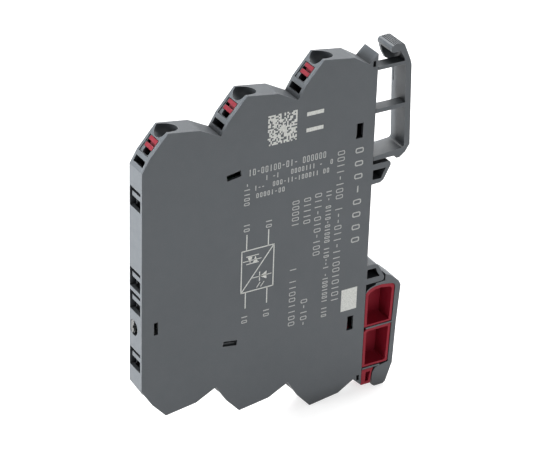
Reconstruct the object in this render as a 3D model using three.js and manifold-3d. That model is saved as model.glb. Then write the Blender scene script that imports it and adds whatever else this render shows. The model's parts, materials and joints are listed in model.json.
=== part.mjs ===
// Slim DIN-rail interface relay: a 6.2 mm wide electronic relay module with three stepped
// terminal tiers above and below, bridge slots in its front and a sprung foot behind.
// Millimetres. X runs across the module's width (the cover is on +X), Y runs from the front
// (-Y) to the rail (+Y), Z is up. The origin is the centre of the flat back of the housing.

import * as THREE from 'three';
import { mergeVertices } from 'three/addons/utils/BufferGeometryUtils.js';
import Module from 'manifold-3d';

const wasm = await Module();
wasm.setup();

// ---------------------------------------------------------------- driving dimensions

// Housing
const WIDTH = 6.2;
const DEPTH = 62;
const COVER_THICK = 0.75;
const SIDE_WALL = 0.8;
const RIM = 1.0;
const BACK_WALL = 1.2;
const FIT = 0.1;

const NEAR_X = WIDTH / 2;
const FAR_X = -WIDTH / 2;
const SEAM_X = NEAR_X - COVER_THICK;
const FLOOR_X = FAR_X + SIDE_WALL;
const FRONT_Y = -DEPTH;

// Terminal tiers: each tier repeats one profile, one step further back and higher up.
const TIER_COUNT = 3;
const TIER_START = [FRONT_Y, 29.3];
const TIER_STEP = [20.24, 4.78];
const TOP_BEND = [1.9, 3.3];
const BOTTOM_BEND = [2.95, 4.75];
const CREST = [6.6, 8.8];
const FLAT_END = [14.85, 7.6];
const VALLEY = [20.1, 4.5];
const LAST_VALLEY = [-2.4, 43.8];
const BACK_CORNER = [0, 46.1];

// Terminal features, as places along the slanted face (s) and through it (n).
const WALL = 1.1;
const LEVER_X = [-1.95, 1.55];
const LEVER_S = [1.7, 4.5];
const LEVER_DEPTH = 6.2;
const LEVER_SUNK = 0.15;
const GROOVE_S = [2.75, 3.45];
const GROOVE_DEPTH = 0.5;
const GROOVE_HOLE = { width: 0.7, depth: 2.2 };
const PANEL_X = [-2.3, 2.0];
const PANEL_S = [0.12, 4.62];
const PANEL_DEPTH = 0.25;
const PROBE_X = [-1.2, 1.45];
const PROBE_S = [0.3, 1.75];
const PROBE_CORNER = 0.5;
const FUNNEL_X = -0.1;
const FUNNEL_RX = 2.4;
const FUNNEL_STRETCH = 1.13;
const FUNNEL_MIDDLE = 0.68;
const FUNNEL_LEAN = 0.45;
const FUNNEL_MOUTH = -1.3;
const FUNNEL_ABOVE = 3;
const FUNNEL_PROFILE = [
  [1.15, -6.2], [1.2, -4.4], [1.42, -3.8], [1.8, -3.0], [2.1, -2.35], [2.3, -1.8],
];
const BLOCK = [[4.75, -5.0], [8.7, -5.9]];
const BLOCK_END = [12.6, 6.85];
const LABEL_T = [1.15, 2.75];
const LABEL_X = [-2.3, 2.2];

// Bridge slots in the front, by the height of their middle
const BRIDGE_Z = [21.3, -0.15, -6.35, -22.0];
const BRIDGE_HEIGHT = 5.15;
const BRIDGE_NOTCH = 1.6;
const BRIDGE_FAR = -2.85;
const TONGUE_DROP = 1.05;
const TONGUE_THICK = 1.2;

// Status window
const LENS_X = -1.0;
const LENS_Z = -13.5;
const LENS_R = 2.05;
const LENS_LEFT = -2.55;
const LENS_RIGHT = -0.95;

// Rail buffers: two springy noses that press on the front of a 35 mm rail
const NOSE = [
  [0, 16.75], [4.55, 16.75], [5.1, 16.35], [5.2, 15.6], [3.9, 13.1], [3.3, 12.0], [2.4, 11.4], [0, 11.3],
];
const NOSE_POCKET = [[0.15, 15.15], [3.9, 15.15], [3.2, 14.0], [2.6, 12.55], [0.15, 12.55]];

// Rail foot
const RAIL_GAP = 17.75;
const HOOK_Y = 6.4;
const FOOT_BACK = 10.25;
const BAR_X = 0.1;
const LATCH_TRAVEL = 2.5;
const TONGUE_Z = [-33.5, -29.6];
const BEHIND_Y = 0.12;

// Circuit board
const BOARD_X = [-1.9, -0.9];
const BOARD_Y = [-52, -7.5];
const BOARD_Z = 20;
const BOARD_CORNER = 3;

// ---------------------------------------------------------------- materials

const plastics = (color, roughness) => new THREE.MeshStandardMaterial({ color, roughness, metalness: 0 });
const metals = (color, roughness) => new THREE.MeshStandardMaterial({ color, roughness, metalness: 1 });

const housingGrey = () => plastics(0x5c6063, 0.6);
const leverRed = () => plastics(0xa5202f, 0.45);
const clearPlastic = () => plastics(0xc8ccc8, 0.15);
const boardGreen = () => plastics(0x1f5a35, 0.5);
const partBlack = () => plastics(0x151617, 0.5);
const ceramic = () => plastics(0xb9a37c, 0.6);
const varistorBlue = () => plastics(0x2a4a86, 0.5);
const springSteel = () => metals(0xb8babd, 0.35);
const tinnedCopper = () => metals(0xc9c4b6, 0.35);
const aluminium = () => metals(0xbfc1c4, 0.45);

// ---------------------------------------------------------------- shape helpers

// Turns a shape drawn in (Y, Z) and extruded along its normal into the module's frame.
const SIDEWAYS = new THREE.Matrix4().makeBasis(
  new THREE.Vector3(0, 1, 0),
  new THREE.Vector3(0, 0, 1),
  new THREE.Vector3(1, 0, 0),
);

function toSolid(geometry) {
  const bare = geometry.clone();
  bare.deleteAttribute('normal');
  bare.deleteAttribute('uv');
  const merged = mergeVertices(bare, 1e-5);
  return new wasm.Manifold(new wasm.Mesh({
    numProp: 3,
    vertProperties: new Float32Array(merged.attributes.position.array),
    triVerts: new Uint32Array(merged.index.array),
  }));
}

function toMesh(name, solid, material) {
  const data = solid.getMesh();
  const geometry = new THREE.BufferGeometry();
  geometry.setAttribute('position', new THREE.BufferAttribute(new Float32Array(data.vertProperties), 3));
  geometry.setIndex(new THREE.BufferAttribute(new Uint32Array(data.triVerts), 1));
  geometry.computeVertexNormals();
  const mesh = new THREE.Mesh(geometry, material);
  mesh.name = name;
  return mesh;
}

// A flat piece with the given (Y, Z) outline, from x0 to x1.
function plate(points, x0, x1) {
  const shape = new THREE.Shape(points.map(([y, z]) => new THREE.Vector2(y, z)));
  const geometry = new THREE.ExtrudeGeometry(shape, { depth: x1 - x0, bevelEnabled: false });
  geometry.applyMatrix4(SIDEWAYS);
  geometry.translate(x0, 0, 0);
  return toSolid(geometry);
}

function box([x0, x1], [y0, y1], [z0, z1]) {
  const geometry = new THREE.BoxGeometry(x1 - x0, y1 - y0, z1 - z0);
  geometry.translate((x0 + x1) / 2, (y0 + y1) / 2, (z0 + z1) / 2);
  return toSolid(geometry);
}

// A round bar along Y, from y0 to y1.
function barAlongY(radius, x, z, y0, y1, sides = 24) {
  const geometry = new THREE.CylinderGeometry(radius, radius, y1 - y0, sides);
  geometry.translate(x, (y0 + y1) / 2, z);
  return toSolid(geometry);
}

const span = (middle, size) => [middle - size / 2, middle + size / 2];
const flip = (points, side) => points.map(([y, z]) => [y, z * side]);

// A (Y, Z) rectangle of the given size, turned about its middle.
function turnedRectangle([y, z], [length, height], degrees) {
  const turn = THREE.MathUtils.degToRad(degrees);
  const corners = [[-1, -1], [1, -1], [1, 1], [-1, 1]];
  return corners.map(([a, b]) => {
    const along = (a * length) / 2;
    const across = (b * height) / 2;
    return [
      y + along * Math.cos(turn) - across * Math.sin(turn),
      z + along * Math.sin(turn) + across * Math.cos(turn),
    ];
  });
}

// The outline of a bent strip of constant thickness whose middle follows the points.
function strip(points, thickness) {
  const half = thickness / 2;
  const left = [];
  const right = [];
  points.forEach((point, i) => {
    const before = points[Math.max(i - 1, 0)];
    const after = points[Math.min(i + 1, points.length - 1)];
    const length = Math.hypot(after[0] - before[0], after[1] - before[1]);
    const normal = [-(after[1] - before[1]) / length, (after[0] - before[0]) / length];
    left.push([point[0] + normal[0] * half, point[1] + normal[1] * half]);
    right.push([point[0] - normal[0] * half, point[1] - normal[1] * half]);
  });
  return left.concat(right.reverse());
}

// ---------------------------------------------------------------- tier frame

const tiers = [];
for (const side of [1, -1]) {
  for (let i = 0; i < TIER_COUNT; i += 1) {
    tiers.push({
      side,
      label: `${side > 0 ? 'top' : 'bottom'}_${['front', 'middle', 'rear'][i]}`,
      origin: [TIER_START[0] + i * TIER_STEP[0], TIER_START[1] + i * TIER_STEP[1]],
    });
  }
}

function unit([a, b]) {
  const length = Math.hypot(a, b);
  return [a / length, b / length];
}

const normalOf = (from, to) => unit([from[1] - to[1], to[0] - from[0]]);

const ALONG_SLANT = unit([CREST[0] - TOP_BEND[0], CREST[1] - TOP_BEND[1]]);
const ALONG_LABEL = unit(TOP_BEND);

// The funnel points halfway between the normals of the slanted and the flat face.
const FUNNEL_OUT = unit([
  normalOf(CREST, FLAT_END)[0] - ALONG_SLANT[1],
  normalOf(CREST, FLAT_END)[1] + ALONG_SLANT[0],
]);
const FUNNEL_ALONG = [FUNNEL_OUT[1], -FUNNEL_OUT[0]];

// Moves a point given in a tier's own profile to the module's (Y, Z).
const inTier = (tier, [y, z]) => [tier.origin[0] + y, tier.side * (tier.origin[1] + z)];

// s runs up the slanted terminal face from its lower bend, n runs out of the face.
const onSlant = (s, n) => [
  TOP_BEND[0] + ALONG_SLANT[0] * s - ALONG_SLANT[1] * n,
  TOP_BEND[1] + ALONG_SLANT[1] * s + ALONG_SLANT[0] * n,
];

// The same for the short steep face below the bend.
const onLabel = (t, n) => [
  ALONG_LABEL[0] * t - ALONG_LABEL[1] * n,
  ALONG_LABEL[1] * t + ALONG_LABEL[0] * n,
];

function slantPlate(tier, corners, xs, place = onSlant) {
  const points = corners.map(([s, n]) => inTier(tier, place(s, n)));
  return plate(points, xs[0], xs[1]);
}

const THROUGH = [-WALL - 0.5, 1];
const rectangle = ([s0, s1], [n0, n1]) => [[s0, n0], [s1, n0], [s1, n1], [s0, n1]];

// ---------------------------------------------------------------- housing outlines

function halfOutline(side) {
  const bend = side > 0 ? TOP_BEND : BOTTOM_BEND;
  const points = [];
  for (const tier of tiers.filter((t) => t.side === side)) {
    for (const point of [[0, 0], bend, CREST, FLAT_END, VALLEY]) {
      points.push(inTier(tier, point));
    }
  }
  points.pop();
  points.push([LAST_VALLEY[0], side * LAST_VALLEY[1]]);
  points.push([BACK_CORNER[0], side * BACK_CORNER[1]]);
  return points;
}

// The valley of one tier and the start of the next lie 0.3 mm apart, so one of them is kept.
function withoutNear(points) {
  return points.filter((point, i) => {
    const next = points[(i + 1) % points.length];
    return Math.hypot(point[0] - next[0], point[1] - next[1]) > 0.6;
  });
}

function housingOutline() {
  const top = withoutNear(halfOutline(1));
  const bottom = withoutNear(halfOutline(-1)).reverse();
  return [...top, ...NOSE, ...flip(NOSE, -1).reverse(), ...bottom];
}

// The hollow keeps a rim all round and a solid block behind each wire funnel.
function hollowHalf(side) {
  const points = [];
  for (const tier of tiers.filter((t) => t.side === side)) {
    const profile = [
      [RIM, -0.4],
      onSlant(0.4, -WALL),
      onSlant(BLOCK[0][0], -WALL),
      ...BLOCK.map((corner) => onSlant(...corner)),
      BLOCK_END,
      [FLAT_END[0] - 0.3, FLAT_END[1] - RIM],
      [VALLEY[0] - 0.5, VALLEY[1] - RIM],
    ];
    points.push(...profile.map((point) => inTier(tier, point)));
  }
  points.pop();
  points.push([LAST_VALLEY[0] - 0.7, side * (LAST_VALLEY[1] - RIM)]);
  points.push([-BACK_WALL, side * (LAST_VALLEY[1] - 2 * RIM)]);
  return points;
}

const OUTLINE = housingOutline();
const HOLLOW = [...hollowHalf(1), ...hollowHalf(-1).reverse()];

// Windows in the cover for the snap posts of the tub
const SNAPS = [
  { centre: [-38.1, 23.05], size: [3.8, 1.6], turn: 9 },
  { centre: [-38.15, -22.65], size: [3.8, 1.4], turn: -9 },
  { centre: [-4.2, 26.9], size: [1.9, 4.0], turn: 0 },
  { centre: [-4.2, -26.55], size: [1.8, 4.0], turn: 0 },
];
const LIGHT_WINDOW = { centre: [-58.2, -12.8], size: [1.1, 3.4], turn: 0 };
const CORNER_HOLE = [[-1.4, -0.6], [42.9, 44.4]];

const cutAll = (solid, tools) => tools.reduce((rest, tool) => rest.subtract(tool), solid);
const joinAll = (solid, tools) => tools.reduce((sum, tool) => sum.add(tool), solid);

// ---------------------------------------------------------------- housing tub

// A wire funnel: a wide scoop over the crest that narrows and leans back to the clamp.
function funnel(tier) {
  const mouth = [[FUNNEL_RX, FUNNEL_MOUTH], [FUNNEL_RX, FUNNEL_ABOVE], [0, FUNNEL_ABOVE]];
  const section = [[0, FUNNEL_PROFILE[0][1]], ...FUNNEL_PROFILE, ...mouth];
  const geometry = new THREE.LatheGeometry(section.map(([r, h]) => new THREE.Vector2(r, h)), 32);
  const place = geometry.attributes.position;
  for (let i = 0; i < place.count; i += 1) {
    const out = place.getY(i);
    const along = place.getZ(i) * FUNNEL_STRETCH + FUNNEL_MIDDLE + FUNNEL_LEAN * (FUNNEL_MOUTH - out);
    const y = CREST[0] + FUNNEL_ALONG[0] * along + FUNNEL_OUT[0] * out;
    const z = CREST[1] + FUNNEL_ALONG[1] * along + FUNNEL_OUT[1] * out;
    place.setXYZ(i, FUNNEL_X + place.getX(i), ...inTier(tier, [y, z]));
  }
  if (tier.side > 0) {
    geometry.index.array.reverse();
  }
  return toSolid(geometry);
}

// The probe slot has two rounded lower corners.
function probeSlot(tier) {
  const [s0, s1] = PROBE_S;
  const r = PROBE_CORNER;
  const upper = slantPlate(tier, rectangle([s0 + r, s1], THROUGH), PROBE_X);
  const lower = slantPlate(tier, rectangle([s0, s0 + r + 0.01], THROUGH), [PROBE_X[0] + r, PROBE_X[1] - r]);
  const corners = [PROBE_X[0] + r, PROBE_X[1] - r].map((x) => {
    const pin = new THREE.CylinderGeometry(r, r, THROUGH[1] - THROUGH[0], 16);
    const out = new THREE.Vector3(0, -ALONG_SLANT[1], tier.side * ALONG_SLANT[0]);
    pin.applyQuaternion(new THREE.Quaternion().setFromUnitVectors(new THREE.Vector3(0, 1, 0), out));
    pin.translate(x, ...inTier(tier, onSlant(s0 + r, (THROUGH[0] + THROUGH[1]) / 2)));
    return toSolid(pin);
  });
  return joinAll(upper, [lower, ...corners]);
}

function terminalCuts(tier) {
  const channelX = [LEVER_X[0] - FIT, LEVER_X[1] + FIT];
  const channelS = [LEVER_S[0] - FIT, LEVER_S[1] + FIT];
  return [
    slantPlate(tier, rectangle(PANEL_S, [-PANEL_DEPTH, 1]), PANEL_X),
    slantPlate(tier, rectangle(channelS, THROUGH), channelX),
    slantPlate(tier, rectangle(LABEL_T, THROUGH), LABEL_X, onLabel),
    probeSlot(tier),
    funnel(tier),
  ];
}

const bridgeWindow = (z) => (
  box([BRIDGE_FAR, SEAM_X + 1], [FRONT_Y - 1, FRONT_Y + BRIDGE_NOTCH], span(z, BRIDGE_HEIGHT))
);

const noseCut = (side, x0, x1) => plate(flip(NOSE_POCKET, side), x0, x1);

function cornerHole(side, xs) {
  const [ys, zs] = CORNER_HOLE;
  return box(xs, ys, side > 0 ? zs : [-zs[1], -zs[0]]);
}

const POST_SUNK = 0.7;

// A post stands in each cover window, against the side of the window that it holds.
function snapPost({ centre, size, turn }) {
  const slim = 0.5;
  const long = size[0] > size[1];
  const post = long ? [size[0] - 0.6, slim] : [slim, size[1] - 0.6];
  const shift = (long ? size[1] : size[0]) / 2 - slim / 2 - FIT;
  const place = long ? [centre[0], centre[1] + shift * Math.sign(centre[1])] : [centre[0] - shift, centre[1]];
  return plate(turnedRectangle(place, post, turn), FLOOR_X - 0.2, NEAR_X - POST_SUNK);
}

const STANDOFF = 2;
const SPRING_SEAT = { y: [-4.4, -1.1], z: [-42.6, -41.3] };
const FOOT_SLOT = { x: [-1.2, 1.2], z: [TONGUE_Z[0] - LATCH_TRAVEL - FIT, TONGUE_Z[1] + 0.5] };
const PEGS = [{ x: [0.4, 2.1], z: [30.6, 31.5] }, { x: [-1.5, 1.5], z: [18.0, 19.2] }];
const grow = ([a, b], by) => [a - by, b + by];

function housingTub() {
  const shell = plate(OUTLINE, FAR_X, SEAM_X).subtract(plate(HOLLOW, FLOOR_X, SEAM_X + 1));
  const standoffs = [];
  for (const y of [BOARD_Y[0] + STANDOFF, BOARD_Y[1] - BOARD_CORNER - STANDOFF / 2]) {
    for (const z of [-BOARD_Z + STANDOFF, BOARD_Z - STANDOFF]) {
      standoffs.push(box([FLOOR_X - 0.2, BOARD_X[0] - 0.03], span(y, STANDOFF), span(z, STANDOFF)));
    }
  }
  const seat = box([FLOOR_X - 0.2, SEAM_X - 0.05], SPRING_SEAT.y, SPRING_SEAT.z);
  const solid = joinAll(shell, [...standoffs, seat, ...SNAPS.map(snapPost)]);
  const cuts = [...tiers.flatMap(terminalCuts), ...BRIDGE_Z.map(bridgeWindow)];
  for (const side of [1, -1]) {
    cuts.push(noseCut(side, FLOOR_X, SEAM_X + 1));
    cuts.push(cornerHole(side, [FLOOR_X, SEAM_X + 1]));
  }
  cuts.push(box(FOOT_SLOT.x, [-BACK_WALL - 0.5, 0.5], FOOT_SLOT.z));
  for (const peg of PEGS) {
    cuts.push(box(grow(peg.x, FIT), [-BACK_WALL - 0.5, 0.5], grow(peg.z, FIT)));
  }
  const lensHole = barAlongY(LENS_R, LENS_X, LENS_Z, FRONT_Y - 1, FRONT_Y + RIM + 1);
  cuts.push(lensHole.subtract(box([-9, LENS_LEFT], [FRONT_Y - 2, FRONT_Y + 4], [-30, 0])));
  return toMesh('housing_tub', cutAll(solid, cuts), housingGrey());
}

// ---------------------------------------------------------------- side cover

function bridgeTongue(z) {
  const top = z + BRIDGE_HEIGHT / 2 - TONGUE_DROP;
  return box([-1.9, SEAM_X + 0.2], [FRONT_Y + 0.15, FRONT_Y + BRIDGE_NOTCH - 0.1], [top - TONGUE_THICK, top]);
}

function sideCover() {
  const sheet = joinAll(plate(OUTLINE, SEAM_X, NEAR_X), BRIDGE_Z.map(bridgeTongue));
  const windows = [...SNAPS, LIGHT_WINDOW].map(({ centre, size, turn }) => (
    plate(turnedRectangle(centre, size, turn), SEAM_X - 0.5, NEAR_X + 1)
  ));
  for (const side of [1, -1]) {
    windows.push(noseCut(side, SEAM_X - 0.5, NEAR_X + 1));
    windows.push(cornerHole(side, [SEAM_X - 0.5, NEAR_X + 1]));
  }
  return toMesh('side_cover', cutAll(sheet, windows), housingGrey());
}

// ---------------------------------------------------------------- terminals

function releaseLever(tier) {
  const body = slantPlate(tier, rectangle(LEVER_S, [-LEVER_DEPTH, -LEVER_SUNK]), LEVER_X);
  const groove = slantPlate(tier, rectangle(GROOVE_S, [-LEVER_SUNK - GROOVE_DEPTH, 1]), [-4, 4]);
  const holeX = [LEVER_X[0] - 1, LEVER_X[0] + GROOVE_HOLE.width];
  const hole = slantPlate(tier, rectangle(GROOVE_S, [-GROOVE_HOLE.depth, 1]), holeX);
  return toMesh(`release_lever_${tier.label}`, cutAll(body, [groove, hole]), leverRed());
}

// The clamp spring is one bent strip: its long leg presses the wire on the current bar.
const SPRING_X = [-1.5, 1.5];
const SPRING_SHEET = 0.3;
const SPRING_PATH = [
  [7.5, -10.7], [4.6, -10.7], [3.6, -10.4], [3.0, -9.7], [3.0, -8.9], [3.6, -8.3], [5.2, -7.9], [7.6, -7.0],
];

function clampSpring(tier) {
  const outline = strip(SPRING_PATH, SPRING_SHEET);
  return toMesh(`clamp_spring_${tier.label}`, slantPlate(tier, outline, SPRING_X), springSteel());
}

const CURRENT_BAR = [[8.0, -6.3], [8.6, -6.3], [8.6, -11.9], [3.0, -11.9], [3.0, -11.3], [8.0, -11.3]];
const CURRENT_BAR_X = [-1.7, 1.7];
const TAIL_FROM = [3.5, -11.7];
const TAIL_X = [-0.85, -0.35];
const TAIL_WIDTH = 1.6;
const TAIL_END = 17.4;

function currentBar(tier) {
  const bar = slantPlate(tier, CURRENT_BAR, CURRENT_BAR_X);
  const [y, z] = inTier(tier, onSlant(...TAIL_FROM));
  const ends = [tier.side * TAIL_END, z].sort((a, b) => a - b);
  const tail = box(TAIL_X, span(y, TAIL_WIDTH), ends);
  return toMesh(`current_bar_${tier.label}`, bar.add(tail), tinnedCopper());
}

// Blades behind the bridge slots, with tails on the board
const BLADE_X = [-0.85, 1.8];
const BLADE_Y = [-60, -52.4];
const BLADE_TAIL_Y = [-53.5, -51];
const BLADES = [
  { z: [19.7, 20.1], tail: [17.6, 20.1] },
  { z: [-1.75, -1.35], tail: [-2.2, -0.9] },
  { z: [-7.95, -7.55], tail: [-8.4, -7.1] },
  { z: [-20.8, -20.4], tail: [-20.8, -17.8] },
];

function bridgeContact({ z, tail }, index) {
  const blade = box(BLADE_X, BLADE_Y, z);
  const foot = box(TAIL_X, BLADE_TAIL_Y, tail);
  return toMesh(`bridge_contact_${index + 1}`, blade.add(foot), tinnedCopper());
}

// ---------------------------------------------------------------- status light

const PIPE_Y = [FRONT_Y + 0.05, FRONT_Y + 1.7];
const PIPE_NOTCHES = { x: -0.85, z: [-13.35, -15.1], radius: 0.95, depth: 1.2 };

function lightPipe() {
  const round = barAlongY(LENS_R - FIT, LENS_X, LENS_Z, ...PIPE_Y);
  const lens = round.intersect(box([LENS_LEFT + FIT, LENS_RIGHT], [FRONT_Y - 1, FRONT_Y + 3], [-16, -11]));
  const { x, z, radius, depth } = PIPE_NOTCHES;
  const notches = z.map((height) => barAlongY(radius, x, height, FRONT_Y - 1, FRONT_Y + depth, 3));
  const rod = box([-1.9, 0.1], [PIPE_Y[1] - 0.1, -52.6], span(LENS_Z, 2.2));
  return toMesh('light_pipe', cutAll(lens, notches).add(rod), clearPlastic());
}

const LED_Y = [-51.9, -50.4];

function statusLed() {
  const body = box([BOARD_X[1] + 0.02, 0.1], LED_Y, span(LENS_Z, 1.6));
  return toMesh('status_led', body, clearPlastic());
}

// ---------------------------------------------------------------- board and components

function circuitBoard() {
  const [front, back] = BOARD_Y;
  const outline = [
    [front, -BOARD_Z], [back - BOARD_CORNER, -BOARD_Z], [back, -BOARD_Z + BOARD_CORNER],
    [back, BOARD_Z - BOARD_CORNER], [back - BOARD_CORNER, BOARD_Z], [front, BOARD_Z],
  ];
  return toMesh('circuit_board', plate(outline, BOARD_X[0], BOARD_X[1]), boardGreen());
}

const ON_BOARD = BOARD_X[1] + 0.02;

// A moulded chip package with legs along its two long sides.
function chip(name, [y, z], [length, height, thick], legs, material = partBlack()) {
  const body = box([ON_BOARD + 0.15, ON_BOARD + 0.15 + thick], span(y, length), span(z, height));
  const pitch = height / legs;
  const feet = [];
  for (let i = 0; i < legs; i += 1) {
    const legZ = span(z + (i - (legs - 1) / 2) * pitch, pitch * 0.4);
    feet.push(box([ON_BOARD, ON_BOARD + 0.35], span(y, length + 2), legZ));
  }
  return toMesh(name, joinAll(body, feet), material);
}

const smallBlock = (name, [y, z], [length, height, thick], material) => (
  toMesh(name, box([ON_BOARD, ON_BOARD + thick], span(y, length), span(z, height)), material)
);

const VARISTOR = { y: -14.5, z: -10, radius: 3.5, thick: 2.3, leadEnd: -15.5 };

function varistor() {
  const { y, z, radius, thick, leadEnd } = VARISTOR;
  const disc = new THREE.CylinderGeometry(radius, radius, thick, 24);
  disc.rotateZ(Math.PI / 2);
  disc.translate(ON_BOARD + 0.15 + thick / 2, y, z);
  const leads = box([ON_BOARD, ON_BOARD + 0.5], span(y, 0.6), [leadEnd, z]);
  return toMesh('varistor', toSolid(disc).add(leads), varistorBlue());
}

function components() {
  return [
    chip('optocoupler', [-32.5, 0], [4.6, 6.6, 2.4], 3),
    chip('bridge_rectifier', [-43.5, -8], [3.9, 4.8, 2.3], 2),
    chip('output_triac', [-20.5, 9.5], [6.4, 6.6, 2.2], 3),
    smallBlock('heat_spreader', [-12.2, 9.5], [7.6, 12, 1.2], aluminium()),
    smallBlock('input_resistor_1', [-44, 2], [1.6, 3.2, 0.6], partBlack()),
    smallBlock('input_resistor_2', [-41, 2], [1.6, 3.2, 0.6], partBlack()),
    smallBlock('gate_resistor', [-27, 3], [1.6, 3.2, 0.6], partBlack()),
    smallBlock('snubber_capacitor', [-25, -10], [5.7, 5.0, 2.3], ceramic()),
    smallBlock('smoothing_capacitor', [-37, -10], [3.2, 2.5, 1.6], ceramic()),
    varistor(),
  ];
}

// ---------------------------------------------------------------- upper rail frame

const UPPER_FRAME = [
  [BEHIND_Y, RAIL_GAP], [HOOK_Y, RAIL_GAP], [HOOK_Y + 0.25, 17.0], [7.5, 17.0], [9.1, 18.2], [FOOT_BACK, 20],
  [9.4, 41.4], [9.0, 42.8], [7.15, 47.1], [6.5, 47.5], [4.3, 47.38], [3.75, 47.15], [3.45, 46.7],
  [3.42, 46.2], [3.62, 45.7], [4.1, 45.4], [6.0, 45.6],
  [7.3, 43.5], [7.75, 41.3], [8.7, 20.1], [8.45, 19.7], [8.0, 19.5], [5.5, 19.3],
  [BEHIND_Y, 18.9],
];
const GRIP_WEB = [
  [3.8, 46.8], [3.9, 45], [4.4, 43.5], [5.3, 41.8], [6.6, 41.1], [8.2, 41], [8.7, 42], [7, 46.5],
];
const GRIP_TOP = { start: [4.3, 47.38], slope: 0.055, above: 49 };
const GRIP_RIBS = { y: [4.4, 4.9, 5.4, 5.9, 6.4], width: 0.24, depth: 0.2 };
const POST_GROOVE = [[-2.35, -2.1], [7.0, 8.4], [35.2, 41]];
const UPPER_BARS = [{ y: 8.4, z: [30.5, 31.6] }, { y: 7.9, z: [41.8, 42.7] }];

function upperFrame() {
  const loop = plate(UPPER_FRAME, FAR_X, NEAR_X);
  const web = plate(GRIP_WEB, FAR_X, FAR_X + 0.9);
  const bars = UPPER_BARS.map(({ y, z }) => box([BAR_X, NEAR_X], [BEHIND_Y, y], z));
  const pegs = PEGS.map(({ x, z }) => box(x, [-BACK_WALL - 0.3, 0.6], z));
  const grooves = GRIP_RIBS.y.map((y) => {
    const top = GRIP_TOP.start[1] + (y - GRIP_TOP.start[0]) * GRIP_TOP.slope;
    return box([FAR_X - 1, NEAR_X + 1], span(y, GRIP_RIBS.width), [top - GRIP_RIBS.depth, GRIP_TOP.above]);
  });
  grooves.push(box(...POST_GROOVE));
  return toMesh('upper_rail_frame', cutAll(joinAll(loop, [web, ...bars, ...pegs]), grooves), housingGrey());
}

// ---------------------------------------------------------------- sprung foot

// The grey foot: a hook behind the rail's lower edge, an outer post, a boss and two ribs.
const FOOT = [
  [2.9, -17.0], [5.6, -17.0], [5.6, -15.1], [7.2, -15.9], [9.7, -18.15], [FOOT_BACK, -19.4],
  [9.55, -30], [9.1, -41.9], [7.3, -47.1], [6.6, -47.6], [4.1, -47.6], [3.4, -47.1], [3.2, -44.6],
  [3.4, -43.2], [4.1, -42.1], [5.2, -41.75], [7.8, -41.3], [8.25, -30], [8.7, -19.25], [8.35, -18.6],
  [7.75, -18.3], [4.7, -17.8], [2.6, -17.9], [1.15, -18.38], [0.4, -19.0], [0.2, -19.4],
  [0.2, -18.85], [0.5, -18.5], [1.3, -17.95], [2.9, -17.45],
];
const FOOT_RIBS = [{ y: [0.65, 8.5], z: [-29.85, -29.45] }, { y: [0.2, 5.3], z: [-41.75, -41.3] }];

function latchFoot() {
  const loop = plate(FOOT, FAR_X, NEAR_X);
  const ribs = FOOT_RIBS.map(({ y, z }) => box([BAR_X, NEAR_X], y, z));
  return toMesh('latch_foot', joinAll(loop, ribs), housingGrey());
}

// The red release insert: two open cups between the ribs, an end with a screwdriver pocket
// and a T-shaped tongue that is guided in the slot of the housing's back wall.
const CUPS = [
  {
    outer: [
      [0.2, -29.3], [8.15, -29.3], [8.58, -19.35], [8.25, -18.75], [7.7, -18.42], [4.7, -17.92],
      [2.65, -18.02], [1.22, -18.48], [0.5, -19.1], [0.2, -19.7],
    ],
    inner: [
      [0.95, -28.75], [7.45, -28.75], [7.8, -19.85], [7.3, -19.25], [4.7, -18.82], [2.85, -18.92],
      [1.6, -19.4], [0.95, -20.2],
    ],
  },
  {
    outer: [[0.2, -41.1], [7.3, -41.1], [7.68, -40.8], [8.1, -30.0], [1.0, -30.0], [0.2, -30.6]],
    inner: [[0.95, -40.5], [6.6, -40.5], [6.98, -40.2], [7.35, -30.7], [1.5, -30.7], [0.95, -31.1]],
  },
];
const END_PLATE = [[0.2, -46.4], [2.9, -46.4], [3.05, -44.6], [3.2, -43.0], [3.6, -41.95], [0.2, -41.95]];
const END_POCKET = [[1.3, -45.7], [2.3, -45.5], [2.5, -44.0], [2.8, -42.8], [1.5, -42.9]];
const CUP_FLOOR_X = -2.0;
const INSERT_X = [FAR_X + 0.15, NEAR_X - 0.15];

function releaseInsert() {
  const walls = CUPS.map(({ outer }) => plate(outer, ...INSERT_X));
  const join = box([INSERT_X[0], BAR_X - FIT], [0.2, 7.6], [-30.5, -29]);
  const endPlate = plate(END_PLATE, ...INSERT_X);
  const endJoin = box([INSERT_X[0], BAR_X - FIT], [0.2, 3.2], [-42.5, -41]);
  const neck = box([-1.0, 1.0], [-BACK_WALL - 0.5, 0.5], TONGUE_Z);
  const head = box([-1.8, 1.8], [-3.9, -BACK_WALL - FIT], TONGUE_Z);
  const solid = joinAll(walls[0], [walls[1], join, endPlate, endJoin, neck, head]);
  const cuts = CUPS.map(({ inner }) => plate(inner, CUP_FLOOR_X, NEAR_X + 1));
  cuts.push(plate(END_POCKET, -1.0, NEAR_X + 1));
  return toMesh('release_insert', cutAll(solid, cuts), leverRed());
}

// A helix of round wire, standing on the spring seat under the tongue.
class Helix extends THREE.Curve {
  constructor(radius, height, turns) {
    super();
    this.radius = radius;
    this.height = height;
    this.turns = turns;
  }

  getPoint(t, target = new THREE.Vector3()) {
    const angle = t * this.turns * 2 * Math.PI;
    return target.set(this.radius * Math.cos(angle), this.radius * Math.sin(angle), t * this.height);
  }
}

const COIL = { y: -2.75, radius: 1.1, wire: 0.2, turns: 6, gap: 0.05 };

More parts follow.
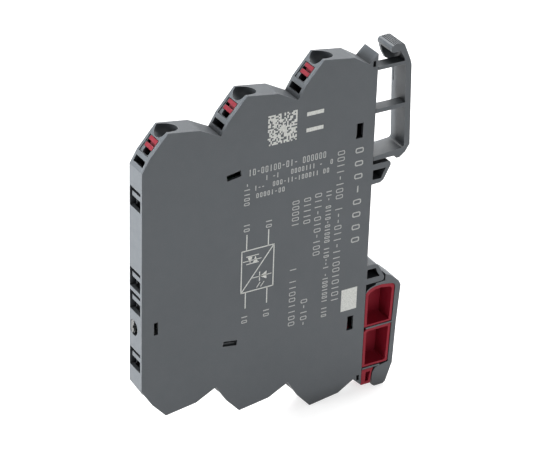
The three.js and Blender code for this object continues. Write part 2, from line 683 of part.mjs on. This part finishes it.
function latchSpring() {
  const { y, radius, wire, turns, gap } = COIL;
  const low = SPRING_SEAT.z[1] + wire + gap;
  const high = TONGUE_Z[0] - wire - gap;
  const section = new THREE.Shape();
  section.absarc(0, 0, wire, 0, 2 * Math.PI);
  const geometry = new THREE.ExtrudeGeometry(section, {
    extrudePath: new Helix(radius, high - low, turns),
    steps: turns * 10,
    curveSegments: 3,
    bevelEnabled: false,
  });
  geometry.translate(0, y, low);
  return toMesh('latch_spring', toSolid(geometry), springSteel());
}

// ---------------------------------------------------------------- assembly

const relay = new THREE.Group();
relay.add(housingTub(), sideCover());
for (const tier of tiers) {
  relay.add(releaseLever(tier), clampSpring(tier), currentBar(tier));
}
BLADES.forEach((blade, index) => relay.add(bridgeContact(blade, index)));
relay.add(lightPipe(), statusLed(), circuitBoard(), ...components());
relay.add(upperFrame(), latchFoot(), releaseInsert(), latchSpring());

export default relay;
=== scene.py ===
"""Looks of the slim interface relay: softened shells, printed marks, materials and light."""
import json
import math
import random

import bmesh
import bpy
from mathutils import Matrix, Vector


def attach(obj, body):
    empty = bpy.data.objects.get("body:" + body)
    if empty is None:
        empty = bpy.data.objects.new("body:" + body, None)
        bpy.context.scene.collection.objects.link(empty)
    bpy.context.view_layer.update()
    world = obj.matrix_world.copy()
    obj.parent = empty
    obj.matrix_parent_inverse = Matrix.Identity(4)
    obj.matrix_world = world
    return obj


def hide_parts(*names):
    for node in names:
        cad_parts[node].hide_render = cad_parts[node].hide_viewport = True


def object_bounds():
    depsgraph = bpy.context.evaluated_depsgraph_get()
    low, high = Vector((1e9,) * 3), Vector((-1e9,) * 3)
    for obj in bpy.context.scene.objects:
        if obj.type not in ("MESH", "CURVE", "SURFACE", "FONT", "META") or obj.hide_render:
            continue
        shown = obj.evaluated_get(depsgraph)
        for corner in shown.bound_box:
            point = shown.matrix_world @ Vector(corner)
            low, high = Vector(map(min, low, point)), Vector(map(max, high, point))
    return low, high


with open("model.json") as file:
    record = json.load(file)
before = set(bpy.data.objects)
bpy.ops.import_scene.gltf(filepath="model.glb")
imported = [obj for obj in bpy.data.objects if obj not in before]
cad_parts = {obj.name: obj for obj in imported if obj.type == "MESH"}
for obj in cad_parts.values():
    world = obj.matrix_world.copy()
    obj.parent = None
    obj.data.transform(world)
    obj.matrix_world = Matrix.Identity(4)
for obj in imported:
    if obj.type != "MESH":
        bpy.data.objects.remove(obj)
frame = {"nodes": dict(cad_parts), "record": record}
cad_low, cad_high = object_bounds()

MM = 0.001
FLAT_ANGLE = math.radians(1.0)
CURVE_ANGLE = math.radians(16.0)
EDGE_ANGLE = math.radians(30.0)
EDGE_SEGMENTS = 3
SAME_POINT = 1e-6
NODES = frame["nodes"]
SLOT_OF = {s["node"]: s["material_slot"] for s in frame["record"]["subparts"]}
BODY_OF = {n: b for b, names in frame["record"]["behaviour"]["bodies"].items() for n in names}
TIERS = [f"{side}_{place}" for side in ("top", "bottom") for place in ("front", "middle", "rear")]


# ---------------------------------------------------------------- materials

# Noise scales are per metre, distances are in metres.
CLOUD_SCALE, SHEEN_SCALE, WEAR_SCALE = 60.0, 420.0, 900.0
CLOUD_DARK, CLOUD_LIGHT = 0.97, 1.03
FINE_GRAIN = 5200.0
GRAIN_TINT = 0.16
GRAIN_HEIGHT = 0.00003
WEAR_LEAST, WEAR_MOST = 0.15, 0.75
EDGE_RADIUS = 0.00016
EDGE_TURN = 0.82
EDGE_SAMPLES = 6
HOLLOW_REACH = 0.005
HOLLOW_SAMPLES = 8
HOLLOW_POWER = 1.5
PLASTIC_IOR = 1.5
STREAK_SCALE = (1.0, 1.0, 14.0)
STREAK_HEIGHT = 0.00002
LENS_IOR = 1.49
LENS_CLEARNESS = 0.85
LENS_SHEEN = 0.35
INK_PATCH_SCALE = 2600.0
INK_HEIGHT = 0.00001


class Nodes:
    """A small helper for building one node material."""

    def __init__(self, name):
        self.material = bpy.data.materials.new(name)
        self.material.use_nodes = True
        self.tree = self.material.node_tree
        self.shader = self.tree.nodes["Principled BSDF"]
        self.place = self.add("ShaderNodeTexCoord").outputs["Object"]

    def add(self, kind, **settings):
        """A new node with the given settings."""
        node = self.tree.nodes.new(kind)
        for key, value in settings.items():
            setattr(node, key, value)
        return node

    def link(self, a, b):
        self.tree.links.new(a, b)

    def noise(self, scale, detail=3.0, rough=0.5):
        """Noise in object space, 0 to 1."""
        node = self.add("ShaderNodeTexNoise")
        node.inputs["Scale"].default_value = scale
        node.inputs["Detail"].default_value = detail
        node.inputs["Roughness"].default_value = rough
        self.link(self.place, node.inputs["Vector"])
        return node.outputs["Fac"]

    def span(self, value, low, high, start=0.0, end=1.0):
        """The value, moved from start..end to low..high."""
        node = self.add("ShaderNodeMapRange")
        node.inputs["From Min"].default_value = start
        node.inputs["From Max"].default_value = end
        node.inputs["To Min"].default_value = low
        node.inputs["To Max"].default_value = high
        self.link(value, node.inputs["Value"])
        return node.outputs["Result"]

    def mix(self, factor, a, b):
        """Colour a at 0 and colour b at 1; each is a tuple or an output."""
        node = self.add("ShaderNodeMix", data_type="RGBA")
        self.link(factor, node.inputs["Factor"])
        for value, port in ((a, node.inputs[6]), (b, node.inputs[7])):
            if isinstance(value, tuple):
                port.default_value = (*value, 1.0)
            else:
                self.link(value, port)
        return node.outputs[2]

    def edge(self):
        """About 0 on flat faces and 1 on outer and inner edges."""
        bevel = self.add("ShaderNodeBevel", samples=EDGE_SAMPLES)
        bevel.inputs["Radius"].default_value = EDGE_RADIUS
        geometry = self.add("ShaderNodeNewGeometry")
        dot = self.add("ShaderNodeVectorMath", operation="DOT_PRODUCT")
        self.link(bevel.outputs["Normal"], dot.inputs[0])
        self.link(geometry.outputs["Normal"], dot.inputs[1])
        return self.span(dot.outputs["Value"], 1.0, 0.0, EDGE_TURN, 1.0)

    def shade(self, color, darkest):
        """The colour with painted shade: darker down in slots, cups and corners, where less light
        reaches.
        """
        # Painted shade: ambient occlusion darkens the colour, down to darkest in deep hollows.
        hollow = self.add("ShaderNodeAmbientOcclusion", samples=HOLLOW_SAMPLES)
        hollow.inputs["Distance"].default_value = HOLLOW_REACH
        depth = self.add("ShaderNodeMath", operation="POWER")
        self.link(hollow.outputs["AO"], depth.inputs[0])
        depth.inputs[1].default_value = HOLLOW_POWER
        darker = self.add("ShaderNodeMix", data_type="RGBA", blend_type="MULTIPLY")
        darker.inputs["Factor"].default_value = 1.0
        self.link(color, darker.inputs[6])
        self.link(self.span(depth.outputs[0], darkest, 1.0), darker.inputs[7])
        return darker.outputs[2]

    def bump(self, height, strength, distance):
        """Fine relief on the surface."""
        node = self.add("ShaderNodeBump")
        node.inputs["Strength"].default_value = strength
        node.inputs["Distance"].default_value = distance
        self.link(height, node.inputs["Height"])
        self.link(node.outputs["Normal"], self.shader.inputs["Normal"])


def moulded(
    name, color, worn_and_highlight, rough=(0.47, 0.55), grain=FINE_GRAIN, depth=0.16, darkest=0.22, sheen=0.5,
):
    """Moulded plastic: fine spark-eroded grain, faint flow clouds, paler edges that are part wear
    and part painted highlight, and painted shade in hollows.
    """
    m = Nodes(name)
    clouds = m.noise(CLOUD_SCALE, 4.0, 0.55)
    fine = m.noise(grain, 2.0, 0.6)
    dark = tuple(c * CLOUD_DARK for c in color)
    light = tuple(min(1.0, c * CLOUD_LIGHT) for c in color)
    base = m.mix(m.span(clouds, 0.0, 1.0, 0.35, 0.65), dark, light)
    speck = m.mix(m.span(fine, 0.0, GRAIN_TINT, 0.55, 0.8), base, worn_and_highlight)
    edges = m.edge()
    # Paler edges in patches: part wear, part painted highlight along the rounded edges.
    wear_and_highlight = m.add("ShaderNodeMath", operation="MULTIPLY")
    m.link(edges, wear_and_highlight.inputs[0])
    patches = m.noise(WEAR_SCALE, 3.0)
    m.link(m.span(patches, WEAR_LEAST, WEAR_MOST, 0.35, 0.65), wear_and_highlight.inputs[1])
    # Painted shade: the colour darkens in hollows, down to darkest.
    shown = m.shade(m.mix(wear_and_highlight.outputs[0], speck, worn_and_highlight), darkest)
    m.link(shown, m.shader.inputs["Base Color"])
    m.link(m.span(m.noise(SHEEN_SCALE, 3.0), *rough, 0.3, 0.7), m.shader.inputs["Roughness"])
    m.bump(fine, depth, GRAIN_HEIGHT)
    m.shader.inputs["IOR"].default_value = PLASTIC_IOR
    m.shader.inputs["Specular IOR Level"].default_value = sheen
    return m.material


def metal(name, color, rough):
    """Rolled sheet metal with streaks along one direction."""
    m = Nodes(name)
    stretch = m.add("ShaderNodeMapping")
    stretch.inputs["Scale"].default_value = STREAK_SCALE
    m.link(m.place, stretch.inputs["Vector"])
    m.place = stretch.outputs["Vector"]
    lines = m.noise(WEAR_SCALE, 4.0, 0.6)
    dark = tuple(c * 0.8 for c in color)
    m.link(m.mix(lines, dark, color), m.shader.inputs["Base Color"])
    m.link(m.span(lines, rough, rough + 0.2), m.shader.inputs["Roughness"])
    m.bump(lines, 0.1, STREAK_HEIGHT)
    m.shader.inputs["Metallic"].default_value = 1.0
    return m.material


def clear(name, color, rough):
    """Clear moulded plastic with a faint haze."""
    m = Nodes(name)
    haze = m.noise(700.0, 3.0)
    dark = tuple(c * 0.92 for c in color)
    m.link(m.mix(haze, dark, color), m.shader.inputs["Base Color"])
    m.link(m.span(haze, rough, rough + 0.12), m.shader.inputs["Roughness"])
    m.shader.inputs["Transmission Weight"].default_value = LENS_CLEARNESS
    m.shader.inputs["Specular IOR Level"].default_value = LENS_SHEEN
    m.shader.inputs["IOR"].default_value = LENS_IOR
    return m.material


def ink(name, color):
    """Printed ink: slightly uneven cover over the plastic below."""
    m = Nodes(name)
    patch = m.noise(INK_PATCH_SCALE, 3.0, 0.7)
    thin = tuple(c * 0.62 for c in color)
    m.link(m.mix(m.span(patch, 0.0, 1.0, 0.25, 0.6), thin, color), m.shader.inputs["Base Color"])
    m.link(m.span(patch, 0.5, 0.7), m.shader.inputs["Roughness"])
    m.bump(patch, 0.1, INK_HEIGHT)
    return m.material


GREY = (0.064, 0.073, 0.082)
# Pale grey for grain specks and for the paler edges, which are part wear and part painted
# highlight.
GREY_WORN_AND_HIGHLIGHT = (0.21, 0.22, 0.23)
RED_GRAIN, RED_DEPTH = 4200.0, 0.08
# darkest sets how far the painted shade darkens each material in hollows.
MATERIALS = {
    "housing_grey": moulded("housing_grey", GREY, GREY_WORN_AND_HIGHLIGHT),
    "lever_red": moulded(
        "lever_red", (0.15, 0.01, 0.019), (0.26, 0.045, 0.06),
        rough=(0.4, 0.52), grain=RED_GRAIN, depth=RED_DEPTH, darkest=0.35, sheen=0.4,
    ),
    "spring_steel": metal("spring_steel", (0.62, 0.63, 0.65), 0.25),
    "tinned_copper": metal("tinned_copper", (0.66, 0.64, 0.58), 0.3),
    "clear_plastic": clear("clear_plastic", (0.3, 0.31, 0.31), 0.2),
    "board_green": moulded(
        "board_green", (0.02, 0.09, 0.035), (0.08, 0.2, 0.1), rough=(0.25, 0.35), grain=2400.0,
    ),
    "component_black": moulded(
        "component_black", (0.012, 0.012, 0.013), (0.06, 0.06, 0.06), rough=(0.4, 0.55),
    ),
    "heat_aluminium": metal("heat_aluminium", (0.7, 0.71, 0.72), 0.35),
    "ceramic_tan": moulded("ceramic_tan", (0.45, 0.34, 0.2), (0.6, 0.5, 0.35)),
    "varistor_blue": moulded(
        "varistor_blue", (0.02, 0.06, 0.22), (0.1, 0.16, 0.35), rough=(0.15, 0.25),
    ),
}
CUP_RED = moulded(
    "cup_red", (0.25, 0.009, 0.022), (0.34, 0.014, 0.034),
    rough=(0.5, 0.65), grain=RED_GRAIN, depth=RED_DEPTH, darkest=0.8, sheen=0.2,
)
INK = ink("print_white", (0.62, 0.63, 0.6))
FAINT_INK = ink("print_faint", (0.42, 0.43, 0.42))


# ---------------------------------------------------------------- pieces


def finish_piece(piece, body, material, nodes=()):
    """Gives a piece its material, its body and the nodes it stands for."""
    piece.data.materials.clear()
    piece.data.materials.append(material)
    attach(piece, body)
    if nodes:
        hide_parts(*nodes)
    return piece


def mesh_object(name, bm):
    """An object in the scene from a finished bmesh."""
    mesh = bpy.data.meshes.new(name)
    bm.to_mesh(mesh)
    bm.free()
    piece = bpy.data.objects.new(name, mesh)
    bpy.context.scene.collection.objects.link(piece)
    return piece


def smooth(piece):
    """Curved faces shade smooth, flat faces stay flat."""
    mesh = piece.data
    bm = bmesh.new()
    bm.from_mesh(mesh)
    for face in bm.faces:
        angles = [edge.calc_face_angle(0.0) for edge in face.edges]
        face.smooth = any(FLAT_ANGLE < angle < CURVE_ANGLE for angle in angles)
    for edge in bm.edges:
        edge.smooth = edge.calc_face_angle(math.pi) < CURVE_ANGLE
    bm.to_mesh(mesh)
    bm.free()


def soften(piece, width):
    """Rounds every sharp edge, as moulding does."""
    smooth(piece)
    bevel = piece.modifiers.new("rounded edges", "BEVEL")
    bevel.width = width * MM
    bevel.segments = EDGE_SEGMENTS
    bevel.limit_method = "ANGLE"
    bevel.angle_limit = EDGE_ANGLE
    bevel.miter_outer = "MITER_ARC"


def refined(name, node, width, material=None):
    """A new piece with the node's shape and rounded edges, width in millimetres."""
    source = NODES[node]
    bm = bmesh.new()
    bm.from_mesh(source.data)
    bmesh.ops.transform(bm, matrix=source.matrix_world, verts=bm.verts)
    bmesh.ops.remove_doubles(bm, verts=bm.verts, dist=SAME_POINT)
    piece = mesh_object(name, bm)
    soften(piece, width)
    slot = SLOT_OF[node]
    return finish_piece(piece, BODY_OF[node], material or MATERIALS[slot], [node])


refined("housing_shell", "housing_tub", 0.14)
refined("cover_plate", "side_cover", 0.12)
refined("rail_frame", "upper_rail_frame", 0.16)
refined("foot_loop", "latch_foot", 0.12)
refined("foot_insert", "release_insert", 0.1, material=CUP_RED)
for tier in TIERS:
    refined(f"lever_{tier}", f"release_lever_{tier}", 0.12)

# ---------------------------------------------------------------- printing on the cover

# All positions are (y, z) on the cover, in millimetres.
FACE_X = cad_high.x / MM
INK_SUNK, INK_THICK = 0.01, 0.012
LINE_WIDTH, THIN_LINE, BAR_LINE, DIODE_BAR = 0.28, 0.2, 0.22, 0.25
LINE_ENDS = 0.6
RING_CUT = 0.45
GAPS, STROKE, BIG_STROKE, LABEL_STROKE = 0.12, 0.22, 0.32, 0.24
CODE = {"cells": 20, "y": -29.4, "z": 28.65, "size": 7.8, "filled": 0.56, "overlap": 1.02}
SYMBOL = {"left": -35.5, "right": -26.75, "top": 2.0, "bottom": -9.4}
LEADS = {"y": (-34.25, -28.35), "up": 4.3, "down": 4.4}
DIODE_Z, SWITCH_Z = -5.9, -0.9
# Each row: start, end, height of the marks, pitch, share of gaps, stroke, pattern or None
ROWS = (
    ((-34.4, 22.8), (-10.9, 22.8), 1.7, 1.12, 0.02, STROKE, None),
    ((-29.8, 20.5), (-10.9, 20.5), 1.3, 0.98, GAPS, STROKE, None),
    ((-32.7, 18.4), (-11.6, 18.4), 1.3, 0.98, GAPS, STROKE, None),
    ((-32.2, 16.3), (-23.5, 16.3), 1.3, 1.0, GAPS, STROKE, None),
    ((-34.5, 20.3), (-34.5, 14.0), 1.5, 1.25, 0.0, STROKE, None),
    ((-21.1, 12.5), (-21.1, 4.7), 1.9, 1.5, 0.0, STROKE, None),
    ((-17.9, 12.5), (-17.9, 4.7), 1.9, 1.5, 0.0, STROKE, None),
    ((-14.9, 13.0), (-14.9, -5.3), 1.9, 1.6, 0.05, STROKE, None),
    ((-12.0, 13.0), (-12.0, -23.0), 1.5, 1.05, GAPS, STROKE, None),
    ((-9.05, 23.0), (-9.05, -19.4), 2.0, 1.69, 0.03, STROKE, None),
    ((-3.95, 23.4), (-3.95, -4.6), 2.3, 3.5, GAPS, BIG_STROKE, "ooo-oooo"),
    ((-21.2, -5.8), (-21.2, -23.8), 1.8, 1.7, 0.1, STROKE, None),
    ((-17.8, -15.6), (-17.8, -24.0), 1.8, 1.6, 0.0, STROKE, None),
)
LABELS = ((-34.35, 8.3), (-28.35, 8.0), (-34.4, -16.9), (-28.4, -16.6))
LABEL_HEIGHT, LABEL_PITCH = 1.6, 1.3
# Each plain block: y, z, width, height
BLOCKS = ((-4.85, -19.5, 4.5, 6.2), (-16.7, 34.6, 4.6, 1.0), (-16.7, 30.4, 4.6, 1.0))
dice = random.Random(20)


def turned(y, z, p, q, turn):
    """The point (p, q), turned in the cover's plane and moved to (y, z)."""
    return (
        y + p * math.cos(turn) - q * math.sin(turn),
        z + p * math.sin(turn) + q * math.cos(turn),
    )


def ink_block(bm, y, z, width, height, turn=0.0):
    """A thin printed rectangle, centred at (y, z) and turned in the cover's plane."""
    signs = ((-1, -1), (1, -1), (1, 1), (-1, 1))
    ink_shape(bm, [turned(y, z, a * width / 2, b * height / 2, turn) for a, b in signs])


def ink_shape(bm, corners):
    """A thin printed plate with the given corners, its back just under the cover's face."""
    low = [bm.verts.new((FACE_X - INK_SUNK, y, z)) for y, z in corners]
    high = [bm.verts.new((FACE_X + INK_THICK, y, z)) for y, z in corners]
    bm.faces.new(high)
    bm.faces.new(list(reversed(low)))
    for i in range(len(corners)):
        j = (i + 1) % len(corners)
        bm.faces.new((low[i], low[j], high[j], high[i]))


def ink_line(bm, start, end, width=LINE_WIDTH):
    """A printed line, a little longer than its two ends."""
    dy, dz = end[0] - start[0], end[1] - start[1]
    ink_block(
        bm, (start[0] + end[0]) / 2, (start[1] + end[1]) / 2,
        math.hypot(dy, dz) + width * LINE_ENDS, width, math.atan2(dz, dy),
    )


def printed(name, bm, material=INK):
    """The finished print as a piece that rides on the housing."""
    bmesh.ops.scale(bm, vec=(MM, MM, MM), verts=bm.verts)
    bmesh.ops.recalc_face_normals(bm, faces=bm.faces)
    return finish_piece(mesh_object(name, bm), "housing", material)


def ink_ring(bm, y, z, width, height, stroke, turn):
    """An outlined box with cut corners."""
    rim = []
    for inset in (0.0, stroke):
        w, h = width / 2 - inset, height / 2 - inset
        cut = min(w, h) * RING_CUT
        points = [
            (-w + cut, -h), (w - cut, -h), (w, -h + cut), (w, h - cut),
            (w - cut, h), (-w + cut, h), (-w, h - cut), (-w, -h + cut),
        ]
        rim.append([turned(y, z, p, q, turn) for p, q in points])
    for i in range(len(points)):
        j = (i + 1) % len(points)
        ink_shape(bm, [rim[0][i], rim[0][j], rim[1][j], rim[1][i]])


def dashes(bm, start, end, tall, pitch, gap, stroke, pattern):
    """A run of small boxes (o), bars (i) and strokes (-) that spells nothing."""
    dy, dz = end[0] - start[0], end[1] - start[1]
    length = math.hypot(dy, dz)
    turn = math.atan2(dz, dy)
    count = int(length / pitch)
    if pattern is None:
        weights = (gap, 0.3, 0.12, 0.58 - gap)
        pattern = "".join(dice.choices(" i-o", weights, k=count))
    for i, mark in enumerate(pattern):
        at = (i + 0.5) * pitch / length
        y, z = start[0] + dy * at, start[1] + dz * at
        if mark == "i":
            ink_block(bm, y, z, stroke * 1.2, tall, turn)
        elif mark == "-":
            ink_block(bm, y, z, pitch * 0.5, stroke * 1.2, turn)
        elif mark == "o":
            ink_ring(bm, y, z, min(pitch * 0.66, tall * 0.62), tall, stroke, turn)


def symbol():
    """The relay's circuit symbol: light-emitting diode, barrier line and two-way switch."""
    bm = bmesh.new()
    near, far, top, bottom = SYMBOL["left"], SYMBOL["right"], SYMBOL["top"], SYMBOL["bottom"]
    corners = [(near, bottom), (far, bottom), (far, top), (near, top)]
    for i in range(len(corners)):
        ink_line(bm, corners[i], corners[(i + 1) % len(corners)])
    ink_line(bm, (near, bottom), (far, top))
    for y in LEADS["y"]:
        ink_line(bm, (y, top), (y, top + LEADS["up"]))
        ink_line(bm, (y, bottom), (y, bottom - LEADS["down"]))
    # diode: its wire, its triangle, its bar and two rays
    ink_line(bm, (-32.4, DIODE_Z), (-27.3, DIODE_Z), THIN_LINE)
    ink_shape(bm, [(-30.4, DIODE_Z), (-28.6, -7.0), (-28.6, -4.8)])
    ink_line(bm, (-30.5, -7.1), (-30.5, -4.7), DIODE_BAR)
    ink_line(bm, (-30.3, -7.6), (-31.2, -8.8), THIN_LINE)
    ink_line(bm, (-29.2, -7.6), (-30.1, -8.8), THIN_LINE)
    # two-way switch: its wire and two triangles between two bars
    ink_line(bm, (-35.1, SWITCH_Z), (-30.2, SWITCH_Z), THIN_LINE)
    ink_shape(bm, [(-33.9, 0.1), (-32.6, 0.1), (-33.2, -1.6)])
    ink_shape(bm, [(-32.4, -1.6), (-31.1, -1.6), (-31.8, 0.1)])
    ink_line(bm, (-34.2, -1.75), (-30.9, -1.75), BAR_LINE)
    ink_line(bm, (-34.2, 0.3), (-30.9, 0.3), BAR_LINE)
    printed("print_symbol", bm)


def code_block():
    """A square of random cells."""
    bm = bmesh.new()
    step = CODE["size"] / CODE["cells"]
    side = step * CODE["overlap"]
    for i in range(CODE["cells"]):
        for j in range(CODE["cells"]):
            if dice.random() < CODE["filled"]:
                y, z = CODE["y"] + (i + 0.5) * step, CODE["z"] + (j + 0.5) * step
                ink_block(bm, y, z, side, side)
    printed("print_code", bm)


def text_rows():
    """Rows of plain marks, and a pair of marks at each lead of the symbol."""
    bm = bmesh.new()
    for row in ROWS:
        dashes(bm, *row)
    for y, z in LABELS:
        start, end = (y, z + LABEL_PITCH), (y, z - LABEL_PITCH)
        dashes(bm, start, end, LABEL_HEIGHT, LABEL_PITCH, GAPS, LABEL_STROKE, "io")
    printed("print_rows", bm, FAINT_INK)


def plate_marks():
    """Plain marks: a blank plate and two short bars."""
    bm = bmesh.new()
    for block in BLOCKS:
        ink_block(bm, *block)
    printed("print_plate", bm)


symbol()
code_block()
text_rows()
plate_marks()

SHOWN_CAD = [n for n in NODES if NODES[n].visible_get() and not NODES[n].hide_render]
for node in SHOWN_CAD:
    piece = NODES[node]
    piece.data.materials.clear()
    piece.data.materials.append(MATERIALS[SLOT_OF[node]])


# ---------------------------------------------------------------- stage, light and camera


FLOOR_REACH, FLOOR_GAP = 6.0, 0.0002
FLOOR_GLOW, SKY_GLOW = 0.7, 0.1
PAPER_DARK, PAPER_LIGHT = (0.44, 0.44, 0.44), (0.46, 0.46, 0.46)
PAPER_SCALE = 30.0
WHITE = (1.0, 1.0, 1.0, 1.0)
AIM = (0.0, -0.025, 0.0)
# Each soft box: name, place, power, width, height
SOFTBOXES = (
    ("top_box", (-0.5, 0.2, 0.8), 17.0, 1.0, 1.0),
    ("front_box", (-0.12, -0.75, 0.12), 14.5, 0.24, 0.5),
    ("rear_box", (-0.1, 0.7, 0.3), 4.5, 0.4, 0.3),
    ("near_box", (0.6, -0.05, 0.5), 1.3, 0.3, 0.3),
)
AZIMUTH, ELEVATION, ROLL = math.radians(59.21), math.radians(29.57), math.radians(1.84)
CAMERA_PLACE = (0.4239, -0.2788, 0.2854)
LENS, SENSOR = 159.3, 36.0
NEAREST, FARTHEST = 0.01, 20.0


def plane(name, size, z):
    """A flat square at height z that reaches size each way."""
    bm = bmesh.new()
    bmesh.ops.create_grid(bm, x_segments=1, y_segments=1, size=size)
    bmesh.ops.translate(bm, verts=bm.verts, vec=(0, 0, z))
    return mesh_object(name, bm)


floor = plane("floor", FLOOR_REACH, cad_low.z - FLOOR_GAP)
paper = Nodes("studio_paper")
paper.shader.inputs["Roughness"].default_value = 0.9
paper.shader.inputs["Specular IOR Level"].default_value = 0.2
fibre = paper.mix(paper.noise(PAPER_SCALE), PAPER_DARK, PAPER_LIGHT)
paper.link(fibre, paper.shader.inputs["Base Color"])
paper.shader.inputs["Emission Color"].default_value = WHITE
paper.shader.inputs["Emission Strength"].default_value = FLOOR_GLOW
floor.data.materials.append(paper.material)


def softbox(name, place, power, width, height):
    """A rectangular area light that faces the relay."""
    light = bpy.data.lights.new(name, "AREA")
    light.shape = "RECTANGLE"
    light.size, light.size_y = width, height
    light.energy = power
    holder = bpy.data.objects.new(name, light)
    bpy.context.scene.collection.objects.link(holder)
    holder.location = place
    holder.rotation_mode = "QUATERNION"
    holder.rotation_quaternion = (Vector(AIM) - Vector(place)).to_track_quat("-Z", "Y")


for box in SOFTBOXES:
    softbox(*box)

world = bpy.data.worlds.new("studio")
world.use_nodes = True
sky = world.node_tree.nodes["Background"]
sky.inputs["Color"].default_value = WHITE
sky.inputs["Strength"].default_value = SKY_GLOW
bpy.context.scene.world = world
bpy.context.scene.view_settings.view_transform = "Standard"

back = Vector((
    math.sin(AZIMUTH) * math.cos(ELEVATION),
    -math.cos(AZIMUTH) * math.cos(ELEVATION),
    math.sin(ELEVATION),
))
right = Vector((0, 0, 1)).cross(back).normalized()
up = back.cross(right)
right, up = (
    math.cos(ROLL) * right + math.sin(ROLL) * up,
    math.cos(ROLL) * up - math.sin(ROLL) * right,
)
camera = bpy.data.objects.new("camera", bpy.data.cameras.new("camera"))
bpy.context.scene.collection.objects.link(camera)
camera.data.sensor_width = SENSOR
camera.data.lens = LENS
camera.data.clip_start, camera.data.clip_end = NEAREST, FARTHEST
turn = Matrix((right, up, back)).transposed().to_4x4()
camera.matrix_world = Matrix.Translation(CAMERA_PLACE) @ turn
bpy.context.scene.camera = camera
